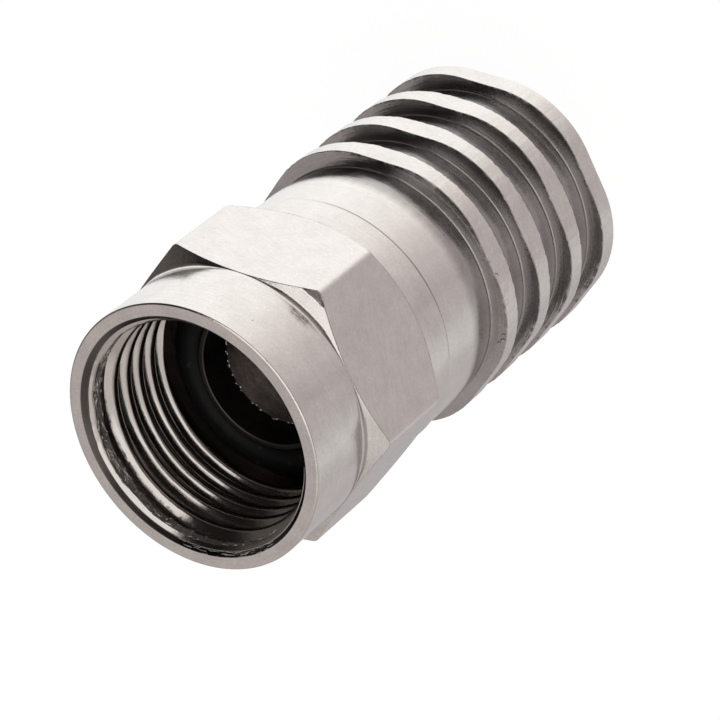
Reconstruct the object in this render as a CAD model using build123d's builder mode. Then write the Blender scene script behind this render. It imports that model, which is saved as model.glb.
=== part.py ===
"""Coaxial screw plug with a ringed grip barrel, standing on the barrel's cable end.

The axis of the plug is Z, the nose of the coupling nut is up, and the origin is the
centre of the barrel's rear face.  Lengths are in millimetres, angles in degrees.
"""
import os
from math import radians, tan

from build123d import *

# Coupling nut, turned from hexagon bar
across_flats = 11.0
bar_corner_radius = 0.3
nut_length = 9.5
nose_diameter = 10.95
nose_length = 3.17
nose_root_chamfer = 0.15
front_chamfer_angle = 30.0
rear_chamfer_angle = 45.0
collar_diameter = 10.78
collar_length = 1.45
lip_thickness = 2.3
lip_edge_chamfer = 0.15
rim_edge_break = 0.06

# Socket of the nut, for a 3/8-32 threaded port
thread_major_diameter = 9.525
thread_length = 4.7
mouth_diameter = 10.0
relief_diameter = 10.0

# Inner post, pressed into the barrel
bore_diameter = 4.9
flange_diameter = 8.6
flange_thickness = 0.95
neck_wall = 0.6
neck_height = 1.2
neck_lip_wall = 0.24
neck_lip_chamfer = 0.08
funnel_depth = 1.1
journal_diameter = 6.9
shank_diameter = 6.2
tube_wall = 0.3
barb_height = 0.25
barb_length = 1.3
barb_step = 0.15
post_setback = 4.2

# Rubber ring round the neck, squashed against the neck and the flange
seal_cord_diameter = 1.5
seal_squash = 0.2

# Grip barrel, turned from bar with a rounded hexagon section; its rings stand proud of the
# nut's flats, and its grooves and plain front are measured in from the rings' flats
ring_count = 4
ring_pitch = 2.58
land_width = 0.98
ring_overhang = 0.17
ring_corner_radius = 4.25
groove_depth = 0.46
root_relief = 0.07
ramp_length = 1.15
shoulder_angle = 45.0
flank_lean = 6.0
front_step = 0.34
front_length = 3.4
cavity_diameter = 8.2
entry_chamfer = 0.4
hub_thickness = 1.7

# Clearances
running_clearance = 0.08
end_gap = 0.06
press_clearance = 0.01

# Radii; each envelope lies outside its bar's corners
bar_envelope = across_flats * 0.65
nose_radius = nose_diameter / 2
collar_radius = collar_diameter / 2
thread_radius = thread_major_diameter / 2
mouth_radius = mouth_diameter / 2
relief_radius = relief_diameter / 2
journal_radius = journal_diameter / 2
lip_radius = journal_radius + running_clearance
shank_radius = shank_diameter / 2
hub_radius = shank_radius + press_clearance
bore_radius = bore_diameter / 2
neck_radius = bore_radius + neck_wall
tube_radius = bore_radius + tube_wall
flange_radius = flange_diameter / 2
seal_cord_radius = seal_cord_diameter / 2
seal_inner_radius = neck_radius + press_clearance
seal_radius = seal_inner_radius + seal_cord_radius - seal_squash
ring_radius = across_flats / 2 + ring_overhang
front_radius = ring_radius - front_step
root_radius = ring_radius - groove_depth
cavity_radius = cavity_diameter / 2
stock_envelope = ring_radius * 1.2

# Heights above the barrel's rear face
first_ring_front = (ring_count - 1) * ring_pitch + land_width
barrel_top = first_ring_front + front_length
nut_base = barrel_top + end_gap
nut_top = nut_base + nut_length
flange_base = nut_base + lip_thickness + end_gap
flange_top = flange_base + flange_thickness
neck_top = flange_top + neck_height
cavity_top = barrel_top - hub_thickness
relief_top = nut_top - thread_length

os.makedirs("parts", exist_ok=True)

# Coupling nut: one lathe profile cut into hexagon bar, then bored from both ends
collar_top = nut_base + collar_length
rear_chamfer_top = collar_top + (bar_envelope - collar_radius) * tan(radians(rear_chamfer_angle))
nose_root = nut_top - nose_length
front_chamfer_base = nose_root - (bar_envelope - nose_radius) * tan(radians(front_chamfer_angle))

with BuildPart() as coupling_nut:
    with BuildSketch(Plane.XY.offset(nut_base)):
        bar = RegularPolygon(across_flats / 2, 6, major_radius=False)
        fillet(bar.vertices(), bar_corner_radius)
    extrude(amount=nut_length)
    with BuildSketch(Plane.XZ) as turned:
        with BuildLine():
            Polyline(
                (0, nut_base),
                (collar_radius - rim_edge_break, nut_base),
                (collar_radius, nut_base + rim_edge_break),
                (collar_radius, collar_top),
                (bar_envelope, rear_chamfer_top),
                (bar_envelope, front_chamfer_base),
                (nose_radius, nose_root),
                (nose_radius, nut_top - rim_edge_break),
                (nose_radius - rim_edge_break, nut_top),
                (0, nut_top),
                close=True,
            )
        make_face()
        nose_corner = turned.vertices().sort_by_distance((nose_radius, nose_root))[0]
        chamfer(nose_corner, nose_root_chamfer)
    revolve(axis=Axis.Z, mode=Mode.INTERSECT)
    with BuildSketch(Plane.XZ):
        with BuildLine():
            Polyline(
                (0, nut_base),
                (lip_radius + lip_edge_chamfer, nut_base),
                (lip_radius, nut_base + lip_edge_chamfer),
                (lip_radius, nut_base + lip_thickness),
                (relief_radius, nut_base + lip_thickness),
                (relief_radius, relief_top),
                (thread_radius, relief_top + relief_radius - thread_radius),
                (thread_radius, nut_top - mouth_radius + thread_radius),
                (mouth_radius, nut_top),
                (0, nut_top),
                close=True,
            )
        make_face()
    revolve(axis=Axis.Z, mode=Mode.SUBTRACT)

coupling_nut.part.label = "coupling_nut"
export_step(coupling_nut.part, "parts/coupling_nut.step")

# Inner post: flange and neck in front, journal for the nut, shank, then the barbed tube
barb_top = post_setback + barb_length
barb_radius = tube_radius + barb_height

with BuildPart() as inner_post:
    with BuildSketch(Plane.XZ) as post_section:
        with BuildLine():
            Polyline(
                (bore_radius, post_setback),
                (tube_radius, post_setback),
                (barb_radius, barb_top - barb_step),
                (tube_radius, barb_top),
                (tube_radius, cavity_top),
                (shank_radius, cavity_top),
                (shank_radius, barrel_top),
                (journal_radius, barrel_top),
                (journal_radius, flange_base),
                (flange_radius, flange_base),
                (flange_radius, flange_top),
                (neck_radius, flange_top),
                (neck_radius, neck_top),
                (neck_radius - neck_lip_wall, neck_top),
                (bore_radius, neck_top - funnel_depth),
                close=True,
            )
        make_face()
        lip_corners = post_section.vertices().group_by(Axis.Y)[-1]
        chamfer(lip_corners, neck_lip_chamfer)
    revolve(axis=Axis.Z)

inner_post.part.label = "inner_post"
export_step(inner_post.part, "parts/inner_post.step")

# Seal ring: round cord, flat where it presses on the flange and on the neck
with BuildPart() as seal_ring:
    with BuildSketch(Plane.XZ):
        with Locations((seal_radius, flange_top + seal_cord_radius - seal_squash)):
            Circle(seal_cord_radius)
        with Locations((seal_inner_radius, flange_top)):
            Rectangle(seal_cord_diameter, seal_cord_diameter, align=(Align.MIN, Align.MIN),
                      mode=Mode.INTERSECT)
    revolve(axis=Axis.Z)

seal_ring.part.label = "seal_ring"
export_step(seal_ring.part, "parts/seal_ring.step")

# Grip barrel: rounded hexagon bar with saw-tooth rings turned into it
lean = (stock_envelope - root_radius) * tan(radians(flank_lean))
shoulder_rise = (stock_envelope - front_radius) * tan(radians(shoulder_angle))

with BuildPart() as grip_barrel:
    with BuildSketch():
        stock = RegularPolygon(ring_radius, 6, major_radius=False)
        fillet(stock.vertices(), ring_corner_radius)
    extrude(amount=barrel_top)
    with BuildSketch(Plane.XZ) as front_cut:
        with BuildLine():
            Polyline(
                (root_radius, first_ring_front),
                (front_radius, first_ring_front + ramp_length),
                (front_radius, barrel_top - rim_edge_break),
                (front_radius - rim_edge_break, barrel_top),
                (stock_envelope, barrel_top),
                (stock_envelope, first_ring_front - lean),
                close=True,
            )
        make_face()
        chamfer(front_cut.vertices().sort_by(Axis.X)[0], root_relief)
    revolve(axis=Axis.Z, mode=Mode.SUBTRACT)
    for ring in range(ring_count - 1):
        ring_front = ring * ring_pitch + land_width
        ramp_top = ring_front + ramp_length
        with BuildSketch(Plane.XZ) as groove:
            with BuildLine():
                Polyline(
                    (root_radius, ring_front),
                    (front_radius, ramp_top),
                    (stock_envelope, ramp_top + shoulder_rise),
                    (stock_envelope, ring_front - lean),
                    close=True,
                )
            make_face()
            chamfer(groove.vertices().sort_by(Axis.X)[0], root_relief)
        revolve(axis=Axis.Z, mode=Mode.SUBTRACT)
    with BuildSketch(Plane.XZ):
        with BuildLine():
            Polyline(
                (0, 0),
                (cavity_radius + entry_chamfer, 0),
                (cavity_radius, entry_chamfer),
                (cavity_radius, cavity_top),
                (hub_radius, cavity_top),
                (hub_radius, barrel_top),
                (0, barrel_top),
                close=True,
            )
        make_face()
    revolve(axis=Axis.Z, mode=Mode.SUBTRACT)

grip_barrel.part.label = "grip_barrel"
export_step(grip_barrel.part, "parts/grip_barrel.step")
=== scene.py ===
"""Looks of the coaxial screw plug: finely turned metal, threads, burrs, light and camera.

Lengths are in millimetres until a mesh is made. Angles are in radians, except those of
chips, of the studio and of spans of turns, which are in degrees.
"""
from math import cos, pi, radians, sin, tan

import bpy
import numpy as np
from mathutils import Matrix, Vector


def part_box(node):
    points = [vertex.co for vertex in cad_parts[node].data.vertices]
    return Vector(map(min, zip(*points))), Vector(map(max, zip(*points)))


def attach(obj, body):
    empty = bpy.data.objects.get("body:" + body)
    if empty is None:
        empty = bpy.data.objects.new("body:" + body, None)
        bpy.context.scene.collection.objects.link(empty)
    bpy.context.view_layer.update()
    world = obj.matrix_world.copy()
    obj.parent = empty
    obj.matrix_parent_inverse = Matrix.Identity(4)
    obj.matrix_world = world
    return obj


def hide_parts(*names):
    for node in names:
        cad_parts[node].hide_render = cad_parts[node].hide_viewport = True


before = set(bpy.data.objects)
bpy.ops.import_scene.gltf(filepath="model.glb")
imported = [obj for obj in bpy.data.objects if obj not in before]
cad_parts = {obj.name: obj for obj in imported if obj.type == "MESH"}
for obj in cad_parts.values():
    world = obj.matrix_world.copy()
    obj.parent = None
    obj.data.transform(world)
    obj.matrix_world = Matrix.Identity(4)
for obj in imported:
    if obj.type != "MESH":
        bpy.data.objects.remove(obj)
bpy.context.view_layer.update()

MM = 0.001
TAU = 2 * pi

# Coupling nut
FLAT = 5.5
BAR_CORNER = 0.3
NUT_BASE = 12.18
NUT_TOP = 21.68
NOSE = 5.475
NOSE_ROOT = 18.51
NOSE_FILLET = 0.3
NOSE_BEVEL = 0.065
COLLAR = 5.39
COLLAR_TOP = 13.63
FRONT_SLOPE = tan(radians(30))
REAR_SLOPE = tan(radians(45))
LIP = 3.53
LIP_TOP = 14.48
LIP_CHAMFER = 0.15
MOUTH = 4.95
RELIEF = 5.0
RELIEF_TOP = 16.98

# Coupling thread, 3/8-32
THREAD_ROOT = 4.7625
THREAD_CREST = 4.43
THREAD_PITCH = 0.79375
THREAD_ROOT_WIDTH = 0.66
THREAD_CREST_WIDTH = 0.28
THREAD_BACK = 16.99
THREAD_START = radians(50)
THREAD_END = radians(180 + 360 * 5.35)

# Ends of the thread's ridge: how far it sinks into the wall, and its runout and relief
SUNK = 0.05
RUNOUT = 1.3
RUNOUT_SUNK = 0.03
RELIEF_GAP = 0.01
RELIEF_LEAN = 0.03

# Worn and pushed first turn: depth behind the front face, length of the change, size
WORN_DEPTH, WORN_SPAN, WORN = 1.2, 0.35, 0.17
PUSHED_DEPTH, PUSHED_SPAN, PUSHED = 1.9, 1.05, 0.3

# Cone just inside the mouth that squeezes the pushed ridge
STOP_DEPTH = 0.15
STOP_RADIUS = 4.8
STOP_SLOPE = 0.55
STOP_SQUEEZE = 0.97

# Random waves as (cells, seed, size): worn crest, whole ridge, height of the worn ridge
# and inner edge of the raw corner
CREST_WAVES = ((37, 31, 0.03), (190, 36, 0.012))
RIDGE_WAVES = ((149, 34, 0.0025),)
HEIGHT_WAVES = ((31, 33, 0.02), (113, 35, 0.012))
RAW_WAVES = ((331, 41, 0.012),)

# Ridge's rows: the middle of the crest, and where its torn faces end; torn columns
CREST_ROW = 6
TORN_ROWS = 8
TORN_COLUMNS = 267

# Chips along the first turn: their spans, their reach from the ridge's middle forward and
# back, the gap to the front face, and the span where a share of them lies across the ridge
TORN_SEED = 7
TORN_CHIPS = 140
TORN_SPANS = ((92, 124), (124, 168), (160, 215), (160, 262))
TORN_TURN = 5
TORN_FORWARD = 0.2
TORN_REACH = 0.44
TORN_GAP = 0.24
ACROSS_FROM, ACROSS_TO = 165, 225
ACROSS_SHARE = 0.6
ACROSS_LEAN = 85

# Chips on the mouth's chamfer and along its edge, and round the post's bore
RIM_SEED = 23
RIM_CHIPS = 30
EDGE_CHIPS = 26
BORE_SEED = 11
BORE_CHIPS = 70

# Raw corner: half its width in degrees, inner radius and depth
RAW_HALF = 6.4
RAW_RADIUS = 6.02
RAW_DEPTH = 0.03

# Grip barrel
RING_FLAT = 5.67
RING_CORNER = 4.25
RING_COUNT = 4
RING_PITCH = 2.58
RING_SEED = 100
LAND = 0.98
ROOT = 5.21
FRONT = 5.33
RAMP = 1.15
FLANK_SLOPE = tan(radians(6))
BARREL_TOP = 12.12
HUB = 3.11
CAVITY = 4.1
CAVITY_TOP = 10.42
ENTRY = 0.4
EDGE = 0.06

# Ragged edges of the rings as (cells, size): front, back, and foot of the last ring
LIP_JAGS = ((90, 0.010), (230, 0.015), (600, 0.008))
BACK_JAGS = ((70, 0.016), (210, 0.026), (600, 0.012))
FOOT_JAGS = ((40, 0.02), (240, 0.03), (600, 0.02))

# Jacket thread inside the barrel
JACKET_BASE = 0.9
JACKET_PITCH = 1.1
JACKET_TURNS = 5.2
JACKET_DEPTH = 0.3
JACKET_RUNOUT = 1.2

# Inner post and seal
BORE = 2.45
POST_BASE = 4.2
TUBE = 2.75
BARB = 3.0
BARB_TOP = 5.5
BARB_STEP = 0.15
SHANK = 3.1
JOURNAL = 3.45
FLANGE = 4.3
FLANGE_BASE = 14.54
FLANGE_TOP = 15.49
NECK = 3.05
NECK_TOP = 16.69
NECK_LIP = 0.24
FUNNEL = 1.1
SEAL_CORD = 0.75
SEAL_INNER = 3.06
SEAL_SQUASH = 0.2
ROUND = np.radians(np.arange(0, 360, 2.0))

# Shader settings: depth of the marks in metres, range of most noise, slant of the strokes
MARK_DEPTH = 0.0000012
NOISE_LOW, NOISE_HIGH = 0.3, 0.7
MILL_LEAN = 0.4
PIT_SCALE = 1100.0
PIT_REACH = 0.045
PIT_TONE = 0.45
Z_WAVER, RADIUS_WAVER = 0.9, 0.35

# Floor
FLOOR_REACH = 0.8
FLOOR_PAPER = 0.12
FLOOR_GLOW = 0.94

# Studio below the horizon: azimuth in degrees and colour
HORIZON = (
    (-180, (0.55, 0.53, 0.535)), (-140, (0.64, 0.61, 0.615)), (-112, (0.72, 0.70, 0.695)),
    (-90, (0.87, 0.87, 0.86)), (-68, (0.70, 0.665, 0.665)), (-40, (0.665, 0.625, 0.63)),
    (-18, (0.78, 0.735, 0.73)), (2, (0.99, 0.945, 0.93)), (22, (1.265, 1.24, 1.205)),
    (45, (1.44, 1.45, 1.42)), (75, (1.50, 1.52, 1.50)), (105, (1.40, 1.42, 1.405)),
    (150, (1.02, 1.04, 1.04)), (171, (0.95, 0.96, 0.96)), (178, (0.56, 0.54, 0.54)))

# Studio above it: azimuth, elevation, inner and outer angle in degrees, and colour
CEILING = (0.13, 0.12, 0.112)
CEILING_PARTS = (
    ((-165, 38, 30, 58), (0.64, 0.605, 0.59)),
    ((-84, 58, 24, 38), (0.92, 0.89, 0.87)),
    ((-93, 14, 14, 34), (0.45, 0.42, 0.405)),
    ((5, 12, 12, 30), (0.36, 0.315, 0.285)),
    ((72, 49, 22, 38), (0.014, 0.0125, 0.012)))
SOFTBOX = (1.42, 1.40, 1.385)
SOFTBOX_CAP = (20, 80, 28, 33)
SOFTBOX_SIDES = ((0.4974, -0.7999, 0.3355), (-0.829, 0.0, 0.559))


# Curves and sections

def bar_radius(theta, flat, corner):
    """Distance from the axis to a hexagonal bar with rounded corners."""
    away = np.abs((theta + pi / 6) % (pi / 3) - pi / 6)
    centre = (flat - corner) / cos(pi / 6)
    limit = np.arctan2(corner / 2, centre + corner * cos(pi / 6))
    side = flat / np.cos(pi / 6 - away)
    inside = np.maximum(corner ** 2 - (centre * np.sin(away)) ** 2, 0)
    arc = centre * np.cos(away) + np.sqrt(inside)
    return np.where(away < limit, arc, side)


def angles(sixth):
    """Angles of the columns all the way round, from those of one sixth."""
    return np.concatenate([np.array(sixth) + k * pi / 3 for k in range(6)])


def curve_noise(theta, cells, seed):
    """Smooth random curve round the axis, from -1 to 1."""
    values = np.random.default_rng(seed).uniform(-1, 1, cells)
    place = theta / TAU * cells
    low = np.floor(place).astype(int)
    share = place - low
    share = share * share * (3 - 2 * share)
    return values[low % cells] * (1 - share) + values[(low + 1) % cells] * share


def waves(theta, layers, start=0.0):
    """A starting value plus smooth random curves of (cells, seed, size)."""
    return sum((size * curve_noise(theta, cells, seed) for cells, seed, size in layers), start)


def jagged(theta, seed, layers):
    """Sum of curves of (cells, size) with sharp crests, like the edge a worn tool leaves."""
    total = np.zeros_like(theta)
    for k, (cells, size) in enumerate(layers):
        total = total + size * (1 - 2 * np.abs(curve_noise(theta, cells, seed + k)))
    return total


def outline(theta, corners):
    """Rows of a closed section with rounded corners.

    A corner is (radius, height, rounding, arc steps, side steps, zone of the next side).
    """
    most_of_side = 0.45
    count = len(theta)
    spots = [np.stack([np.broadcast_to(c[0], count), np.broadcast_to(c[1], count)], -1)
             for c in corners]
    total = len(spots)
    starts, ends = [], []
    for i, spot in enumerate(spots):
        into = spot - spots[i - 1]
        out = spots[(i + 1) % total] - spot
        into_length = np.linalg.norm(into, axis=-1, keepdims=True)
        out_length = np.linalg.norm(out, axis=-1, keepdims=True)
        into, out = into / into_length, out / out_length
        turn = np.arccos(np.clip(np.sum(into * out, -1, keepdims=True), -1, 1))
        reach = corners[i][2] * np.tan(turn / 2)
        reach = np.minimum(reach, most_of_side * np.minimum(into_length, out_length))
        starts.append(spot - into * reach)
        ends.append(spot + out * reach)
    rows, zones = [], []
    for i, spot in enumerate(spots):
        _, _, rounding, arc_steps, side_steps, zone = corners[i]
        steps = arc_steps if rounding > 0 else 0
        for k in range(steps + 1):
            t = k / steps if steps else 0.0
            rows.append((1 - t) ** 2 * starts[i] + 2 * t * (1 - t) * spot + t * t * ends[i])
            zones.append(zone)
        following = starts[(i + 1) % total]
        for k in range(1, side_steps):
            t = k / side_steps
            rows.append(ends[i] * (1 - t) + following * t)
            zones.append(zone)
    return np.stack(rows, 1), np.array(zones)


# Shells of (points, faces, zones), a zone being the number of a material of the piece

def lathe(theta, section):
    """Points of a section carried round the axis."""
    radius, height = section[..., 0], section[..., 1]
    turn = theta[:, None]
    points = np.stack([radius * np.cos(turn), radius * np.sin(turn), height], -1)
    return points.reshape(-1, 3)


def weave(columns, rows, close_columns=True):
    """Four-sided faces between the points of a grid, and the row of each."""
    j = np.arange(columns if close_columns else columns - 1)
    j, k = (a.ravel() for a in np.meshgrid(j, np.arange(rows), indexing="ij"))
    nj, nk = (j + 1) % columns, (k + 1) % rows
    faces = np.stack([j * rows + k, nj * rows + k, nj * rows + nk, j * rows + nk], -1)
    return faces, k


def turned_shell(theta, corners):
    """Closed shell of a section carried all the way round the axis."""
    rows, zones = outline(theta, corners)
    faces, face_rows = weave(len(theta), rows.shape[1])
    return lathe(theta, rows), faces, zones[face_rows]


def rod_faces(columns):
    """Faces of a closed rod whose cross-sections have four points each."""
    faces, _ = weave(columns, 4, close_columns=False)
    last = 4 * (columns - 1)
    ends = np.array([[0, 1, 2, 3], [last + 3, last + 2, last + 1, last]])
    return np.concatenate([faces, ends])


def sliver(turn, radius, height, length, width, lean, face, rise, curl):
    """Thin torn chip of metal lying on a surface, tapered to both ends, in degrees and mm."""
    steps = 9
    a, b = radians(turn), radians(lean)
    out = np.array([cos(a), sin(a), 0.0])
    across, up = np.array([-sin(a), cos(a), 0.0]), np.array([0.0, 0.0, 1.0])
    lift, rest = {"out": (out, up), "in": (-out, up), "up": (up, out)}[face]
    along = across * cos(b) + rest * sin(b)
    side = rest * cos(b) - across * sin(b)
    t = np.linspace(-1, 1, steps)[:, None]
    bulge = 1 - t * t
    line = out * radius + up * height + along * length / 2 * t + lift * rise * bulge
    line = line + side * curl * (t * t - 0.5)
    half = width / 2 * (0.15 + 0.85 * np.sqrt(bulge))
    points = np.stack([line + side * half, line + lift * half, line - side * half,
                       line - lift * half * 0.6], 1).reshape(-1, 3)
    return points, rod_faces(steps)


def chips(rows, zone):
    """Shells of chips.

    A row is (angle, radius, height, length, width, lean, facing, rise, curl), and the
    facing is "out" or "in" on a wall and "up" on a front face.
    """
    shells = []
    for row in rows:
        points, faces = sliver(*row)
        shells.append((points, faces, np.full(len(faces), zone)))
    return shells


def ridge(theta, crest, root, crest_width, root_width, heights, clip):
    """Points and faces of a thread's ridge inside a bore, along a helix."""
    half_crest, half_root = crest_width / 2, root_width / 2
    rise, step = crest - root, half_root - half_crest
    half_sunk = half_root + SUNK / ((root - crest) / step)
    soft = 0.05
    flank = [(root + rise * share, half_root - step * share) for share in (0.9, 0.6, 0.3, 0.0)]
    profile = np.array([
        (root + SUNK, -half_sunk), *((radius, -height) for radius, height in flank[::-1]),
        (crest, -half_crest + soft), (crest, 0.0), (crest, half_crest - soft),
        *flank, (root + SUNK, half_sunk)])
    rows = len(profile)
    radius = np.broadcast_to(profile[:, 0], (len(theta), rows)).copy()
    height = heights[:, None] + profile[None, :, 1]
    radius, height = clip(theta[:, None], radius, height)
    faces, _ = weave(len(theta), rows, close_columns=False)
    last = (len(theta) - 1) * rows
    caps = []
    for a in range(rows // 2 - 1):
        b = rows - 1 - a
        caps.append([a, a + 1, b - 1, b])
        caps.append([last + b, last + b - 1, last + a + 1, last + a])
    return lathe(theta, np.stack([radius, height], -1)), np.concatenate([faces, caps])


# Pieces

def point_normals(points, faces):
    """Unit normals at the points, each face counting by its area."""
    across = points[faces[:, 2]] - points[faces[:, 0]]
    along = points[faces[:, 3]] - points[faces[:, 1]]
    normal = np.cross(across, along)
    total = np.zeros_like(points)
    for side in range(4):
        np.add.at(total, faces[:, side], normal)
    return total / np.maximum(np.linalg.norm(total, axis=-1, keepdims=True), 1e-12)


def outward(points, faces):
    """The faces, turned over if they enclose a negative volume."""
    a, b, c, d = (points[faces[:, k]] for k in range(4))
    volume = np.sum(a * np.cross(b, c)) + np.sum(a * np.cross(c, d))
    return faces if volume > 0 else faces[:, ::-1]


def within(points, node):
    """Points kept inside the box of the solid that they dress."""
    low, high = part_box(node)
    return np.clip(points, np.array(low) / MM, np.array(high) / MM)


def piece(name, shells, materials, node, body):
    """Mesh object made of closed shells, standing for a solid and moving with its body."""
    points, faces, zones, normals = [], [], [], []
    offset = 0
    for shell_points, shell_faces, shell_zones in shells:
        shell_points = within(shell_points, node)
        shell_faces = outward(shell_points, shell_faces)
        points.append(shell_points)
        faces.append(shell_faces + offset)
        zones.append(shell_zones)
        normals.append(point_normals(shell_points, shell_faces))
        offset += len(shell_points)
    points, faces = np.concatenate(points), np.concatenate(faces)
    zones, normals = np.concatenate(zones), np.concatenate(normals)
    mesh = bpy.data.meshes.new(name)
    mesh.from_pydata((points * MM).tolist(), [], faces.tolist())
    for material in materials:
        mesh.materials.append(material)
    mesh.polygons.foreach_set("material_index", zones.astype(np.int32))
    mesh.polygons.foreach_set("use_smooth", np.ones(len(faces), bool))
    mesh.update()
    mesh.normals_split_custom_set_from_vertices(normals.tolist())
    made = bpy.data.objects.new(name, mesh)
    bpy.context.scene.collection.objects.link(made)
    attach(made, body)
    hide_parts(node)


# Shader nodes

class Graph:
    """Small helper for building node trees."""

    def __init__(self, tree):
        self.tree = tree
        tree.nodes.clear()

    def add(self, kind, **settings):
        node = self.tree.nodes.new(kind)
        for key, value in settings.items():
            setattr(node, key, value)
        return node

    def put(self, node, socket, value):
        if isinstance(value, bpy.types.NodeSocket):
            self.tree.links.new(value, node.inputs[socket])
        else:
            node.inputs[socket].default_value = value

    def fill(self, node, *values):
        """Set the node's first inputs."""
        for k, value in enumerate(values):
            self.put(node, k, value)
        return node

    def math(self, operation, *values):
        return self.fill(self.add("ShaderNodeMath", operation=operation), *values).outputs[0]

    def dot(self, a, b):
        node = self.add("ShaderNodeVectorMath", operation="DOT_PRODUCT")
        return self.fill(node, a, b).outputs["Value"]

    def scaled(self, vector, amount):
        node = self.add("ShaderNodeVectorMath", operation="SCALE")
        self.put(node, 0, vector)
        self.put(node, "Scale", amount)
        return node.outputs["Vector"]

    def combine(self, x, y, z):
        return self.fill(self.add("ShaderNodeCombineXYZ"), x, y, z).outputs[0]

    def split(self, vector):
        return self.fill(self.add("ShaderNodeSeparateXYZ"), vector).outputs

    def ramp(self, value, low, high, to_low=0.0, to_high=1.0, kind="SMOOTHSTEP"):
        node = self.add("ShaderNodeMapRange", interpolation_type=kind, clamp=True)
        return self.fill(node, value, low, high, to_low, to_high).outputs[0]

    def tones(self, value, to_low, to_high):
        """Noise spread evenly between two values."""
        return self.ramp(value, NOISE_LOW, NOISE_HIGH, to_low, to_high, "LINEAR")

    def mix(self, share, low, high):
        node = self.add("ShaderNodeMix", data_type="RGBA")
        self.put(node, 0, share)
        self.put(node, 6, low)
        self.put(node, 7, high)
        return node.outputs[2]

    def noise(self, vector, scale, detail=2.0, roughness=0.5):
        node = self.add("ShaderNodeTexNoise")
        self.put(node, "Vector", vector)
        self.put(node, "Scale", scale)
        self.put(node, "Detail", detail)
        self.put(node, "Roughness", roughness)
        return node.outputs[0]

    def streaks(self, x, y, z, stretch, scale, detail, roughness=0.5):
        """Noise drawn out along the second coordinate."""
        place = self.combine(x, self.math("MULTIPLY", y, stretch), z)
        return self.noise(place, scale, detail, roughness)

    def bump(self, height, distance):
        node = self.add("ShaderNodeBump")
        self.put(node, "Strength", 1.0)
        self.put(node, "Distance", distance)
        self.put(node, "Height", height)
        return node.outputs[0]


def new_material(name):
    """Empty material and the graph of its nodes."""
    material = bpy.data.materials.new(name)
    material.use_nodes = True
    return material, Graph(material.node_tree)


def turned_marks(g, radius, turn, z):
    """Fine lines and broad bands that a lathe tool leaves round the axis."""
    lines = g.streaks(radius, turn, z, 0.00002, scale=15000.0, detail=3.0, roughness=0.65)
    broad = g.streaks(radius, turn, z, 0.0003, scale=2600.0, detail=2.0)
    return lines, broad


def milled_marks(g, radius, turn, z):
    """Slanting strokes, laid on each of the six sides on its own."""
    sixth = g.math("ADD", g.math("FLOOR", g.math("DIVIDE", turn, pi / 3)), 0.5)
    middle = g.math("MULTIPLY", sixth, pi / 3)
    across = g.math("MULTIPLY", radius, g.math("SINE", g.math("SUBTRACT", turn, middle)))
    along = g.math("SUBTRACT", across, g.math("MULTIPLY", z, MILL_LEAN))
    over = g.math("ADD", z, g.math("MULTIPLY", across, MILL_LEAN))
    apart = g.math("MULTIPLY", sixth, 0.01)
    lines = g.streaks(over, along, apart, 0.05, scale=11000.0, detail=4.0, roughness=0.7)
    broad = g.streaks(over, along, apart, 0.3, scale=3000.0, detail=3.0)
    return lines, broad


def torn_marks(g, radius, turn, z):
    """Coarse smears of metal that a tool tore off."""
    flat = g.math("MULTIPLY", radius, 0.3)
    lines = g.streaks(flat, turn, z, 0.0003, scale=9000.0, detail=4.0, roughness=0.65)
    broad = g.streaks(radius, turn, z, 0.0008, scale=4000.0, detail=3.0)
    return lines, broad


MARKS = {"turned": turned_marks, "milled": milled_marks, "torn": torn_marks}


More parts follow.
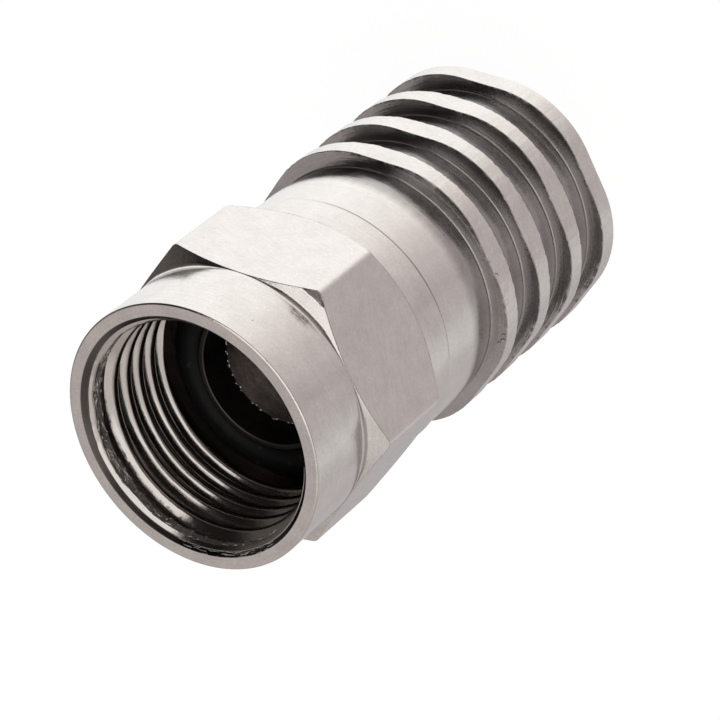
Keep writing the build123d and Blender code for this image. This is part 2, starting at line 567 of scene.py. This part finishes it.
def metal(name, colour, roughness, marks, depth, mottle=0.04, pits=0.0, fade=None):
    """Plated brass with the marks of a tool.

    The fade is painted shade and light, a tone that changes along "z" or the "radius": (axis,
    start, stop, tone before, tone after).
    """
    material, g = new_material(name)
    place = g.add("ShaderNodeTexCoord").outputs["Object"]
    x, y, z = g.split(place)
    radius = g.math("SQRT", g.math("ADD", g.math("MULTIPLY", x, x), g.math("MULTIPLY", y, y)))
    turn = g.math("ARCTAN2", y, x)
    lines, broad = MARKS[marks](g, radius, turn, z)
    grain = g.noise(place, scale=9000.0, detail=3.0, roughness=0.6)
    patches = g.noise(place, scale=1100.0, detail=4.0, roughness=0.6)
    height = g.math("ADD", lines, g.math("MULTIPLY", broad, 2.0))
    height = g.math("ADD", height, g.math("MULTIPLY", grain, 0.4 if marks == "torn" else 0.8))
    shade = g.tones(patches, 1 - mottle, 1 + mottle * 0.5)
    streak = g.tones(lines, 1 - mottle, 1.0)
    grit = g.tones(grain, 1 - 0.8 * mottle, 1 + 0.4 * mottle)
    tone = g.math("MULTIPLY", g.math("MULTIPLY", shade, streak), grit)
    if pits:
        cells = g.add("ShaderNodeTexVoronoi")
        g.put(cells, "Vector", place)
        g.put(cells, "Scale", PIT_SCALE)
        chosen = g.split(cells.outputs["Color"])[0]
        reach = g.ramp(chosen, 1 - pits, 1.0, 0.0, PIT_REACH, "LINEAR")
        hole = g.math("LESS_THAN", cells.outputs["Distance"], reach)
        tone = g.math("MULTIPLY", tone, g.ramp(hole, 0.0, 1.0, 1.0, PIT_TONE, "LINEAR"))
        height = g.math("SUBTRACT", height, hole)
    # Painted shade and light: the fade scales the colour's tone from one value to another
    # along z or the radius, with a wavering edge
    if fade:
        axis, start, stop, before, after = fade
        feather = g.combine(0.0, g.math("MULTIPLY", turn, 0.003), g.math("MULTIPLY", z, 0.1))
        feather = g.noise(feather, scale=5000.0, detail=4.0, roughness=0.7)
        waver = (stop - start) * (Z_WAVER if axis == "z" else RADIUS_WAVER) * MM
        wander = g.math("MULTIPLY", g.math("SUBTRACT", feather, 0.5), waver)
        reached = g.math("ADD", z if axis == "z" else radius, wander)
        painted_shade_tone = g.ramp(reached, start * MM, stop * MM, before, after, "LINEAR")
        tone = g.math("MULTIPLY", tone, painted_shade_tone)
    normal = g.bump(height, MARK_DEPTH * depth)
    tint = g.scaled(colour, tone)
    uneven = g.math("ADD", g.math("MULTIPLY", patches, 0.6), g.math("MULTIPLY", broad, 0.4))
    rough = g.ramp(uneven, 0.35, 0.65, roughness * 0.8, roughness * 1.25, "LINEAR")
    shader = g.add("ShaderNodeBsdfPrincipled")
    g.put(shader, "Base Color", tint)
    g.put(shader, "Metallic", 1.0)
    g.put(shader, "Roughness", rough)
    g.put(shader, "Normal", normal)
    g.fill(g.add("ShaderNodeOutputMaterial"), shader.outputs[0])
    return material


def rubber(name):
    """Smooth black moulded rubber with a little dust."""
    material, g = new_material(name)
    place = g.add("ShaderNodeTexCoord").outputs["Object"]
    fine = g.noise(place, scale=9000.0, detail=3.0)
    dust = g.noise(place, scale=3200.0, detail=2.0)
    normal = g.bump(fine, 0.000004)
    shader = g.add("ShaderNodeBsdfPrincipled")
    g.put(shader, "Base Color", g.mix(g.ramp(dust, 0.64, 0.82), (0.004, 0.0037, 0.0036, 1),
                                      (0.03, 0.029, 0.028, 1)))
    g.put(shader, "Roughness", g.tones(fine, 0.42, 0.55))
    g.put(shader, "Specular IOR Level", 0.14)
    g.put(shader, "Normal", normal)
    g.fill(g.add("ShaderNodeOutputMaterial"), shader.outputs[0])
    return material


NICKEL = (0.66, 0.62, 0.60)
turned = metal("nickel_turned", NICKEL, 0.16, "turned", depth=3.5, mottle=0.08, pits=0.35)
drawn = metal("nickel_milled", NICKEL, 0.18, "milled", depth=9.0, mottle=0.075, pits=0.4)
faced = metal("nickel_faced", NICKEL, 0.2, "turned", depth=6.0, mottle=0.1)
# Torn ramps of the barrel's rings: their fade is painted shade, darker towards the ramp's top
# at the front radius, with a painted highlight near the root
torn = metal("nickel_torn_painted_shade", (0.53, 0.505, 0.5), 0.22, "torn", depth=2.5, mottle=0.07,
             fade=("radius", 5.23, 5.33, 1.12, 0.55))
# Dark nickel: painted shade on the mouth's chamfer, and the dark torn tip of a corner and dark
# chips
dark_nickel_and_painted_shade = metal("nickel_dark_and_painted_shade", (0.13, 0.116, 0.11), 0.22, "turned", depth=3.0, mottle=0.1)
burred = metal("nickel_burred", (0.86, 0.81, 0.785), 0.58, "torn", depth=14.0, mottle=0.3)
# Barrel's front behind the last ring: its fade is a painted shadow, darker below 9.9 mm next
# to the ring
front_painted_shadow = metal("nickel_front_painted_shadow", NICKEL, 0.17, "turned", depth=3.5, mottle=0.06,
                  pits=0.35, fade=("z", 9.9, 10.35, 0.58, 1.0))
# Root of each groove: colour darker than the nickel, painted shade in the crease
line = metal("nickel_root_line_painted_shade", (0.42, 0.395, 0.38), 0.22, "turned", depth=2.0, mottle=0.1)
# Flanks in the rings' grooves: colour darker than the nickel, painted shade
painted_shade_flanks = metal("nickel_flank_painted_shade", (0.44, 0.415, 0.41), 0.18, "turned", depth=5.0, mottle=0.1)
threaded = metal("nickel_threaded", (0.52, 0.485, 0.46), 0.13, "turned", depth=2.5)
dull = metal("post_dull", (0.34, 0.30, 0.285), 0.36, "turned", depth=2.0, mottle=0.15)
# Neck lip and funnel of the post, deep in the nut: nearly black colour, painted shade
lip_painted_shade = metal("post_lip_painted_shade", (0.055, 0.051, 0.05), 0.4, "turned", depth=1.5)
funnel_painted_shade = metal("post_funnel_painted_shade", (0.07, 0.064, 0.061), 0.34, "turned", depth=2.0)
bore_metal = metal("post_bore", (0.5, 0.435, 0.41), 0.45, "torn", depth=6.0, mottle=0.35)
speck_metal = metal("post_burr", (0.92, 0.88, 0.85), 0.4, "torn", depth=2.0)
black_rubber = rubber("seal_rubber")

# Zones of each piece, in the order of its materials; nut and barrel share the first four
TURNED, DRAWN, FACED, TORN, THREADED, DARK_AND_PAINTED_SHADE, BURRED = range(7)
NUT_METALS = [turned, drawn, faced, torn, threaded, dark_nickel_and_painted_shade, burred]
FLANK, PAINTED_SHADOW_FRONT, LINE = 4, 5, 6
BARREL_METALS = [turned, drawn, faced, torn, painted_shade_flanks, front_painted_shadow, line]
POST_DULL, POST_LIP, POST_FUNNEL, POST_BORE, POST_BURR = range(5)
POST_METALS = [dull, lip_painted_shade, funnel_painted_shade, bore_metal, speck_metal]


# Coupling nut

def nut_body():
    """Hexagon with its nose, collar and bored inside."""
    corner = np.radians([0.0, 0.35, 0.7, 1.05, 1.372, 1.8, 2.3])
    flat = np.radians(np.linspace(3.0, 57.0, 73))
    theta = angles(np.concatenate([corner, flat, pi / 3 - corner[:0:-1]]))
    bar = bar_radius(theta, FLAT, BAR_CORNER)
    rear_edge = COLLAR_TOP + (bar - COLLAR) * REAR_SLOPE
    front_edge = NOSE_ROOT - (bar - NOSE) * FRONT_SLOPE
    return turned_shell(theta, [
        (LIP + LIP_CHAMFER, NUT_BASE, 0.02, 2, 3, FACED),
        (COLLAR, NUT_BASE, 0.06, 4, 6, TURNED),
        (COLLAR, COLLAR_TOP, 0.08, 3, 3, FACED),
        (bar, rear_edge, 0.01, 2, 1, FACED),
        (bar - 0.01, rear_edge + 0.02, 0.01, 2, 1, FACED),
        (bar, rear_edge + 0.045, 0.02, 2, 14, DRAWN),
        (bar, front_edge, 0.045, 4, 5, FACED),
        (NOSE, NOSE_ROOT, NOSE_FILLET, 8, 12, TURNED),
        (NOSE, NUT_TOP - 0.035, 0.03, 2, 2, FACED),
        (NOSE - NOSE_BEVEL, NUT_TOP, 0.03, 2, 4, FACED),
        # The mouth's chamfer takes the dark nickel as painted shade
        (MOUTH, NUT_TOP, 0.03, 3, 3, DARK_AND_PAINTED_SHADE),
        (THREAD_ROOT, NUT_TOP - MOUTH + THREAD_ROOT, 0.02, 2, 12, THREADED),
        (THREAD_ROOT, RELIEF_TOP + RELIEF - THREAD_ROOT, 0.02, 2, 2, THREADED),
        (RELIEF, RELIEF_TOP, 0.05, 2, 4, THREADED),
        (RELIEF, LIP_TOP, 0.1, 3, 3, THREADED),
        (LIP, LIP_TOP, 0.03, 2, 3, THREADED),
        (LIP, NUT_BASE + LIP_CHAMFER, 0.02, 2, 1, THREADED),
    ])


def thread_height(theta):
    """Height of the middle of the coupling thread's ridge."""
    return THREAD_BACK + THREAD_PITCH * (theta - pi) / TAU


def nut_clip(theta, radius, height):
    """Ridge worn and pushed forward at its first turn, cut by the chamfer and the relief."""
    middle = thread_height(theta)
    worn = np.clip((WORN_DEPTH - NUT_TOP + middle) / WORN_SPAN, 0, 1)
    pushed = np.clip((PUSHED_DEPTH - NUT_TOP + middle) / PUSHED_SPAN, 0, 1)
    low = THREAD_CREST + worn * waves(theta, CREST_WAVES, WORN)
    fade = np.clip((THREAD_END - theta) / RUNOUT, 0, 1)
    low = low + (THREAD_ROOT + RUNOUT_SUNK - low) * (1 - fade)
    inner = radius < THREAD_ROOT
    radius = np.maximum(radius, low) + np.where(inner, waves(theta, RIDGE_WAVES), 0)
    height = height + PUSHED * pushed
    height = height + worn * waves(theta, HEIGHT_WAVES)
    over = height - NUT_TOP + STOP_DEPTH - STOP_SLOPE * (radius - STOP_RADIUS)
    height = height - STOP_SQUEEZE * np.maximum(over, 0)
    rear = RELIEF_TOP + RELIEF_GAP
    height[:, CREST_ROW] = (np.maximum(height[:, CREST_ROW - 1], rear)
                            + height[:, CREST_ROW + 1]) / 2
    slope = 2 * (THREAD_ROOT - THREAD_CREST) / (THREAD_ROOT_WIDTH - THREAD_CREST_WIDTH)
    cut = THREAD_CREST + slope * (rear - middle - THREAD_CREST_WIDTH / 2)
    cut = np.maximum(radius, np.minimum(cut, THREAD_ROOT + SUNK))
    cut = cut + RELIEF_LEAN * (rear - height)
    behind = height < rear
    return np.where(behind, cut, radius), np.where(behind, rear, height)


def coupling_thread():
    """The 3/8-32 ridge, right-handed, worn and torn at its first turn."""
    theta = np.arange(THREAD_START, THREAD_END, radians(1.0))
    points, faces = ridge(theta, THREAD_CREST, THREAD_ROOT, THREAD_CREST_WIDTH,
                          THREAD_ROOT_WIDTH, thread_height(theta), nut_clip)
    rows = len(points) // len(theta)
    column, row = np.divmod(np.arange(len(faces)), rows)
    crest = (row > 0) & (row < TORN_ROWS) & (column > len(theta) - TORN_COLUMNS)
    return points, faces, np.where(crest, BURRED, THREADED)


def torn_turn():
    """Chips and folds of metal along the first turn of the thread."""
    rng = np.random.default_rng(TORN_SEED)
    rows = []
    for _ in range(TORN_CHIPS):
        turn = rng.choice([rng.uniform(*span) for span in TORN_SPANS])
        middle = THREAD_BACK + THREAD_PITCH * (TORN_TURN + (turn - 180) / 360)
        back = rng.uniform(0, 1)
        height = min(middle + PUSHED + TORN_FORWARD - TORN_REACH * back, NUT_TOP - TORN_GAP)
        length, lean = rng.uniform(0.1, 0.4), rng.uniform(-16, 16)
        if ACROSS_FROM < turn < ACROSS_TO and rng.uniform(0, 1) < ACROSS_SHARE:
            length, lean = 0.4 * length + 0.04, lean + ACROSS_LEAN
        rows.append((turn, THREAD_CREST + 0.15, height, length, rng.uniform(0.025, 0.06), lean,
                     "in", rng.uniform(0.0, 0.05), rng.uniform(-0.06, 0.06)))
    rows.append((111, THREAD_CREST + 0.13, 21.2, 0.2, 0.05, 30, "in", 0.06, 0.12))
    rows.append((114, THREAD_CREST + 0.13, 21.12, 0.16, 0.04, 70, "in", 0.05, 0.1))
    return chips(rows, FACED)


def rim_specks():
    """Torn metal on the mouth's chamfer and along its outer edge."""
    rng = np.random.default_rng(RIM_SEED)
    rows = []
    for _ in range(RIM_CHIPS):
        radius = MOUTH - rng.uniform(0.06, 0.15)
        rows.append((rng.uniform(203, 258), radius, NUT_TOP - MOUTH + radius,
                     rng.uniform(0.12, 0.5), rng.uniform(0.02, 0.05), rng.uniform(-8, 8),
                     "in", 0.0, rng.uniform(-0.02, 0.02)))
    for _ in range(EDGE_CHIPS):
        rows.append((rng.uniform(196, 270), MOUTH + rng.uniform(-0.01, 0.01), NUT_TOP - 0.02,
                     rng.uniform(0.12, 0.4), rng.uniform(0.025, 0.05), rng.uniform(-5, 5),
                     "in", 0.0, rng.uniform(-0.015, 0.015)))
    return chips(rows, BURRED)


def raw_corner():
    """Dark tip of one corner, which the chamfer's tool tore instead of cutting."""
    theta = np.radians(np.linspace(-RAW_HALF, RAW_HALF, 41))
    rim = bar_radius(theta, FLAT, BAR_CORNER) - 0.025
    inner = np.minimum(waves(theta, RAW_WAVES, RAW_RADIUS), rim - 0.003)
    rows = []
    for radius, lift in ((inner, 0.001), (rim, 0.008), (rim, -RAW_DEPTH), (inner, -RAW_DEPTH)):
        rows.append(np.stack([radius, NOSE_ROOT - (radius - NOSE) * FRONT_SLOPE + lift], -1))
    faces = rod_faces(len(theta))
    return lathe(theta, np.stack(rows, 1)), faces, np.full(len(faces), DARK_AND_PAINTED_SHADE)


# Chips where the tools cut across an edge: bright, plain and dark ones, then those of the rim
corner_chips = [
    *chips([
        (-0.3, 6.2, 18.11, 0.14, 0.045, 8, "up", 0.015, 0.0),
        (-1.2, 6.145, 18.14, 0.2, 0.05, 10, "up", 0.015, 0.01),
        (-2.0, 6.095, 18.17, 0.22, 0.05, 6, "up", 0.015, -0.01),
        (-3.2, 6.06, 18.19, 0.16, 0.045, 12, "up", 0.015, 0.01),
    ], BURRED),
    *chips([
        (-22.5, 5.5, 18.47, 0.12, 0.03, 25, "out", 0.01, 0.0),
        (-28.5, 5.5, 18.49, 0.16, 0.035, -15, "out", 0.01, 0.02),
        (-33.0, 5.5, 18.49, 0.1, 0.03, 10, "out", 0.01, 0.0),
        (-38.2, 5.53, 18.47, 0.12, 0.035, 20, "out", 0.01, 0.0),
    ], FACED),
    *chips([
        (4.2, 6.1, 18.16, 0.36, 0.035, -26, "up", 0.01, 0.0),
        (-3.9, 6.11, 18.155, 0.28, 0.03, 26, "up", 0.01, 0.0),
        (-58.3, 6.18, 15.71, 0.08, 0.07, 0, "out", 0.0, 0.0),
        (-59.4, 6.22, 16.37, 0.05, 0.04, 0, "out", 0.0, 0.0),
        (-66.5, 5.92, 18.2, 0.06, 0.04, 0, "out", 0.0, 0.0),
    ], DARK_AND_PAINTED_SHADE)]
rim_chips = chips([
    (-24.9, 5.44, 21.64, 0.2, 0.06, 20, "out", 0.01, 0.03),
    (-31.0, 5.45, 21.63, 0.12, 0.035, -10, "out", 0.01, 0.0),
    (-47.5, 5.45, 21.64, 0.14, 0.03, 5, "out", 0.01, 0.0),
    (-6.0, 5.45, 21.65, 0.1, 0.03, 0, "out", 0.0, 0.0),
    (150.0, 5.02, 21.66, 0.2, 0.03, 8, "in", 0.01, 0.0),
    (196.0, 5.01, 21.66, 0.26, 0.035, -6, "in", 0.01, 0.02),
    (214.0, 5.02, 21.66, 0.16, 0.03, 10, "in", 0.01, 0.0),
], FACED)

piece("nut_turned_body",
      [nut_body(), coupling_thread(), raw_corner(), *torn_turn(), *rim_specks(),
       *corner_chips, *rim_chips],
      NUT_METALS, "coupling_nut", "nut")


# Grip barrel

def barrel_body():
    """Barrel with saw-tooth rings turned into hexagonal bar by a worn tool."""
    theta = angles(np.radians(np.arange(0, 60, 0.6)))
    stock = bar_radius(theta, RING_FLAT, RING_CORNER)
    lean = (stock - ROOT) * FLANK_SLOPE
    shoulder = stock - FRONT
    corners = [(CAVITY + ENTRY, 0.0, 0.03, 2, 2, FACED), (stock, 0.0, 0.06, 3, 2, DRAWN)]
    for ring in range(RING_COUNT):
        seed = RING_SEED + 10 * ring
        flank = ring * RING_PITCH + LAND
        lip = jagged(theta, seed, LIP_JAGS)
        corners += [
            (stock + lip * 0.6, flank - lean + lip, 0.03, 3, 1, FLANK),
            (stock - EDGE, flank - lean + EDGE * FLANK_SLOPE, 0.0, 0, 3, FLANK),
            (ROOT + 0.055, flank, 0.02, 2, 2, LINE),
            (ROOT + 0.004, flank + 0.038, 0.01, 2, 4, TORN)]
        if ring < RING_COUNT - 1:
            back = jagged(theta, seed + 5, BACK_JAGS)
            corners += [
                (FRONT, flank + RAMP, 0.15, 3, 3, TORN),
                (stock - EDGE, flank + RAMP + shoulder - EDGE, 0.0, 0, 1, TORN),
                (stock, flank + RAMP + shoulder + back, 0.04, 3, 2, DRAWN)]

    # The last ring's ramp runs out softly into the plain front, which has a painted shadow
    # next to the ring
    foot = jagged(theta, seed + 8, FOOT_JAGS)
    corners += [
        (FRONT, flank + RAMP + 0.08 + foot * 0.5, 7.0, 6, 6, PAINTED_SHADOW_FRONT),
        (FRONT, BARREL_TOP, 0.06, 3, 2, FACED),
        (HUB, BARREL_TOP, 0.0, 0, 2, TURNED),
        (HUB, CAVITY_TOP, 0.0, 0, 2, TURNED),
        (CAVITY, CAVITY_TOP, 0.0, 0, 4, TURNED),
        (CAVITY, ENTRY, 0.03, 2, 2, TURNED)]
    return turned_shell(theta, corners)


def jacket_thread():
    """Coarse ridge in the cavity that bites into the cable's jacket."""
    theta = np.arange(0, TAU * JACKET_TURNS, radians(3))
    heights = JACKET_BASE + JACKET_PITCH * theta / TAU

    def run_out(turn, radius, height):
        fade = np.clip(np.minimum(turn - theta[0], theta[-1] - turn) / JACKET_RUNOUT, 0, 1)
        return radius + (CAVITY + 0.06 - radius) * (1 - fade), height

    points, faces = ridge(theta, CAVITY - JACKET_DEPTH, CAVITY, 0.12, 0.7, heights, run_out)
    return points, faces, np.full(len(faces), TURNED)


# Curls hanging over the rings' front edges
ring_chips = chips([
    (-36.8, 5.72, 8.5, 0.2, 0.05, 30, "out", 0.02, 0.05),
    (-40.5, 5.7, 8.62, 0.3, 0.035, 12, "up", 0.03, 0.08),
    (-62.5, 5.72, 8.66, 0.22, 0.045, 60, "up", 0.04, 0.05),
    (-64.8, 5.74, 8.68, 0.26, 0.05, 75, "up", 0.05, 0.05),
    (-66.5, 5.6, 8.68, 0.2, 0.04, 60, "up", 0.04, 0.04),
    (-31.0, 5.71, 8.6, 0.12, 0.03, 10, "up", 0.02, 0.0),
    (-22.0, 5.72, 6.05, 0.16, 0.035, 20, "up", 0.02, 0.03),
    (-48.0, 5.7, 6.06, 0.14, 0.03, -15, "up", 0.02, 0.0),
    (12.0, 5.72, 8.62, 0.2, 0.03, 5, "up", 0.02, 0.02),
    (21.0, 5.7, 8.62, 0.14, 0.03, -8, "up", 0.02, 0.0),
    (-8.0, 5.75, 3.47, 0.16, 0.035, 12, "up", 0.02, 0.02),
], FACED)

piece("barrel_turned_body", [barrel_body(), jacket_thread(), *ring_chips],
      BARREL_METALS, "grip_barrel", "plug_body")


# Inner post

def post_body():
    """Hollow post with its barb, flange, neck and funnel."""
    return turned_shell(ROUND, [
        (BORE, POST_BASE, 0.03, 2, 3, POST_DULL),
        (TUBE, POST_BASE, 0.03, 2, 4, POST_DULL),
        (BARB, BARB_TOP - BARB_STEP, 0.04, 3, 2, POST_DULL),
        (TUBE, BARB_TOP, 0.04, 2, 4, POST_DULL),
        (TUBE, CAVITY_TOP, 0.0, 0, 1, POST_DULL),
        (SHANK, CAVITY_TOP, 0.0, 0, 1, POST_DULL),
        (SHANK, BARREL_TOP, 0.0, 0, 1, POST_DULL),
        (JOURNAL, BARREL_TOP, 0.0, 0, 2, POST_DULL),
        (JOURNAL, FLANGE_BASE, 0.0, 0, 2, POST_DULL),
        (FLANGE, FLANGE_BASE, 0.05, 3, 3, POST_DULL),
        (FLANGE, FLANGE_TOP, 0.05, 3, 4, POST_DULL),
        (NECK, FLANGE_TOP, 0.05, 2, 4, POST_LIP),
        (NECK, NECK_TOP, 0.07, 4, 2, POST_LIP),
        (NECK - NECK_LIP, NECK_TOP, 0.07, 4, 6, POST_FUNNEL),
        (BORE, NECK_TOP - FUNNEL, 0.03, 3, 24, POST_BORE),
    ])


def bore_specks():
    """Bright torn metal round the edge of the bore."""
    rng = np.random.default_rng(BORE_SEED)
    rows = []
    for _ in range(BORE_CHIPS):
        rows.append((rng.uniform(0, 360), BORE + rng.uniform(-0.01, 0.03),
                     NECK_TOP - FUNNEL + rng.uniform(-0.03, 0.07), rng.uniform(0.04, 0.2),
                     rng.uniform(0.03, 0.07), rng.uniform(-35, 35), "in", 0.02,
                     rng.uniform(-0.03, 0.03)))
    return chips(rows, POST_BURR)


piece("post_turned_body", [post_body(), *bore_specks()],
      POST_METALS, "inner_post", "plug_body")


# Seal ring

def seal_body():
    """Round cord pressed flat where it rests on the flange and the neck."""
    cord = np.linspace(0, TAU, 48, endpoint=False)
    radius = SEAL_INNER + SEAL_CORD - SEAL_SQUASH + SEAL_CORD * np.cos(cord)
    height = FLANGE_TOP + SEAL_CORD - SEAL_SQUASH + SEAL_CORD * np.sin(cord)
    section = np.stack([np.maximum(radius, SEAL_INNER), np.maximum(height, FLANGE_TOP)], -1)
    faces, _ = weave(len(ROUND), len(cord))
    points = lathe(ROUND, np.broadcast_to(section, (len(ROUND), len(cord), 2)))
    return points, faces, np.zeros(len(faces))


piece("seal_moulded_ring", [seal_body()],
      [black_rubber], "seal_ring", "plug_body")


# Floor, studio and camera

def make_floor():
    """Floor that is white to the camera and takes a faint shadow."""
    mesh = bpy.data.meshes.new("floor")
    reach = FLOOR_REACH
    corners = [(-reach, -reach, 0), (reach, -reach, 0), (reach, reach, 0), (-reach, reach, 0)]
    mesh.from_pydata(corners, [], [(0, 1, 2, 3)])
    floor = bpy.data.objects.new("floor", mesh)
    bpy.context.scene.collection.objects.link(floor)
    material, g = new_material("floor_white")
    paper = g.add("ShaderNodeBsdfDiffuse")
    g.put(paper, "Color", (FLOOR_PAPER, FLOOR_PAPER, FLOOR_PAPER, 1))
    glow = g.add("ShaderNodeEmission")
    g.put(glow, "Strength", FLOOR_GLOW)
    both = g.fill(g.add("ShaderNodeAddShader"), paper.outputs[0], glow.outputs[0])
    g.fill(g.add("ShaderNodeOutputMaterial"), both.outputs[0])
    mesh.materials.append(material)
    floor.visible_glossy = False


def heading(azimuth, elevation):
    """Unit vector towards a part of the studio, from angles in degrees."""
    a, e = radians(azimuth), radians(elevation)
    return (cos(a) * cos(e), sin(a) * cos(e), sin(e))


def make_studio():
    """Grey room: white sweep below and behind, dark side, softbox overhead."""
    world = bpy.data.worlds.new("studio")
    bpy.context.scene.world = world
    world.use_nodes = True
    g = Graph(world.node_tree)
    toward = g.add("ShaderNodeTexCoord").outputs["Generated"]

    def cap(azimuth, elevation, inner, outer):
        """Round part with a soft edge: 1 within the inner angle, 0 past the outer."""
        close = g.dot(toward, heading(azimuth, elevation))
        return g.ramp(close, cos(radians(outer)), cos(radians(inner)))

    def side(normal):
        """The part on one side of a straight, nearly sharp edge."""
        return g.ramp(g.dot(toward, normal), -0.02, 0.035)

    x, y, z = g.split(toward)
    azimuth = g.math("ARCTAN2", y, x)
    horizon = g.add("ShaderNodeValToRGB")
    g.put(horizon, 0, g.ramp(azimuth, -pi, pi, kind="LINEAR"))
    stops = horizon.color_ramp.elements
    for k, (angle, colour) in enumerate(HORIZON):
        place = (angle + 180) / 360
        stop = stops[0] if k == 0 else stops.new(place)
        stop.position = place
        stop.color = (*colour, 1)
    above = (*CEILING, 1)
    for part, colour in CEILING_PARTS:
        above = g.mix(cap(*part), above, (*colour, 1))
    softbox = g.math("MULTIPLY", *(side(normal) for normal in SOFTBOX_SIDES))
    softbox = g.math("MULTIPLY", softbox, cap(*SOFTBOX_CAP))
    above = g.mix(softbox, above, (*SOFTBOX, 1))
    clutter = g.tones(g.noise(toward, scale=7.0, detail=4.0, roughness=0.65), 0.84, 1.16)
    sweep = g.ramp(g.dot(toward, heading(80, 0)), -0.1, 0.3)
    cluttered = g.math("MULTIPLY", clutter, g.math("SUBTRACT", 1.0, sweep))
    below = g.scaled(horizon.outputs[0], g.math("ADD", cluttered, sweep))
    room = g.mix(g.ramp(z, -0.28, 0.06), below, above)
    studio = g.add("ShaderNodeBackground")
    g.put(studio, "Color", room)
    white = g.add("ShaderNodeBackground")
    g.put(white, "Color", (1, 1, 1, 1))
    seen = g.add("ShaderNodeLightPath").outputs["Is Camera Ray"]
    shown = g.fill(g.add("ShaderNodeMixShader"), seen, studio.outputs[0], white.outputs[0])
    g.fill(g.add("ShaderNodeOutputWorld"), shown.outputs[0])


def make_camera():
    """Camera placed as in the photo, from a fit to the outlines of nut, nose and rings."""
    data = bpy.data.cameras.new("camera")
    data.sensor_width = 36
    data.lens = 185.972
    data.clip_start = 0.005
    data.clip_end = 5
    camera = bpy.data.objects.new("camera", data)
    right = (0.44299, -0.72796, -0.52329)
    down = (-0.59354, -0.67559, 0.43736)
    ahead = (-0.67191, 0.11685, -0.73135)
    spot = (95.913 * MM, -18.461 * MM, 116.763 * MM)
    camera.matrix_world = Matrix([
        (right[k], -down[k], -ahead[k], spot[k]) for k in range(3)] + [(0, 0, 0, 1)])
    bpy.context.scene.collection.objects.link(camera)
    bpy.context.scene.camera = camera


make_floor()
make_studio()
make_camera()
bpy.context.scene.view_settings.view_transform = "Standard"
